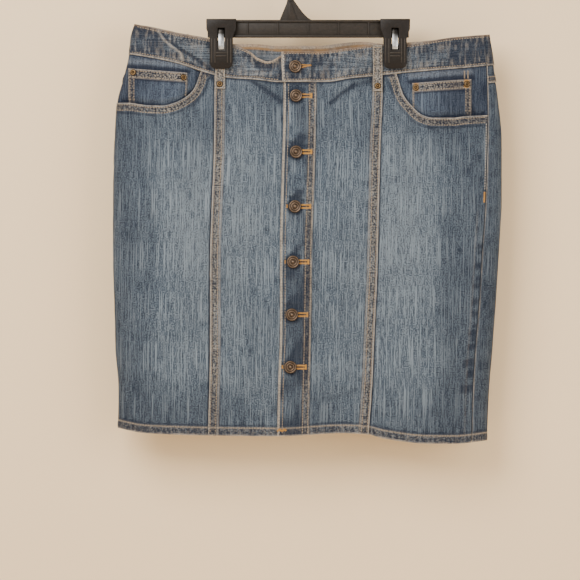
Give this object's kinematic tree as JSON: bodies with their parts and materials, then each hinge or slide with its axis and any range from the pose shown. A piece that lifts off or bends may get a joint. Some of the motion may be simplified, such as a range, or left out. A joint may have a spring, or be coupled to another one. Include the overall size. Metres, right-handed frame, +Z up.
{
  "type": "denim skirt on a clip hanger",
  "caption": "Knee-length blue denim skirt with a button placket, felled seams, curved front pockets and belt loops, hung flat from a moulded clip hanger.",
  "frame": {"origin": "inside top of the hanger's hook, where the rail carries it", "axes": "+Z up, skirt front towards -Y, +X to the viewer's right when facing the front"},
  "size_m": [0.5136, 0.0566, 0.6514],
  "materials": {
    "denim": "faded mid-blue slub denim with tan topstitching",
    "dark_denim": "less faded mid-blue denim inside the pocket mouths",
    "antique_button": "antiqued bronze, rubbed bright on the raised rings",
    "copper_rivet": "worn copper-brass",
    "hanger_plastic": "black moulded plastic, satin",
    "spring_steel": "bright bent spring steel"
  },
  "bodies": {
    "root": {"back_panel_left": "denim", "back_panel_right": "denim", "back_yoke_left": "denim", "back_yoke_right": "denim", "belt_loop_back_center": "denim", "belt_loop_back_left": "denim", "belt_loop_back_right": "denim", "belt_loop_front_left": "denim", "belt_loop_front_right": "denim", "button_1": "antique_button", "button_2": "antique_button", "button_3": "antique_button", "button_4": "antique_button", "button_5": "antique_button", "button_6": "antique_button", "button_7": "antique_button", "clip_left_back": "hanger_plastic", "clip_left_front": "hanger_plastic", "clip_right_back": "hanger_plastic", "clip_right_front": "hanger_plastic", "coin_pocket_left": "dark_denim", "coin_pocket_right": "dark_denim", "front_center_left": "denim", "front_center_right": "denim", "front_side_left": "denim", "front_side_right": "denim", "hanger_frame": "hanger_plastic", "placket": "denim", "pocket_facing_left": "dark_denim", "pocket_facing_right": "dark_denim", "rivet_coin_left_inner": "copper_rivet", "rivet_coin_left_outer": "copper_rivet", "rivet_coin_right_inner": "copper_rivet", "rivet_coin_right_outer": "copper_rivet", "rivet_loop_left": "copper_rivet", "rivet_loop_right": "copper_rivet", "spring_left": "spring_steel", "spring_right": "spring_steel", "waistband_back_left": "denim", "waistband_back_right": "denim", "waistband_front_left": "denim", "waistband_front_right": "denim"}
  },
  "joints": []
}
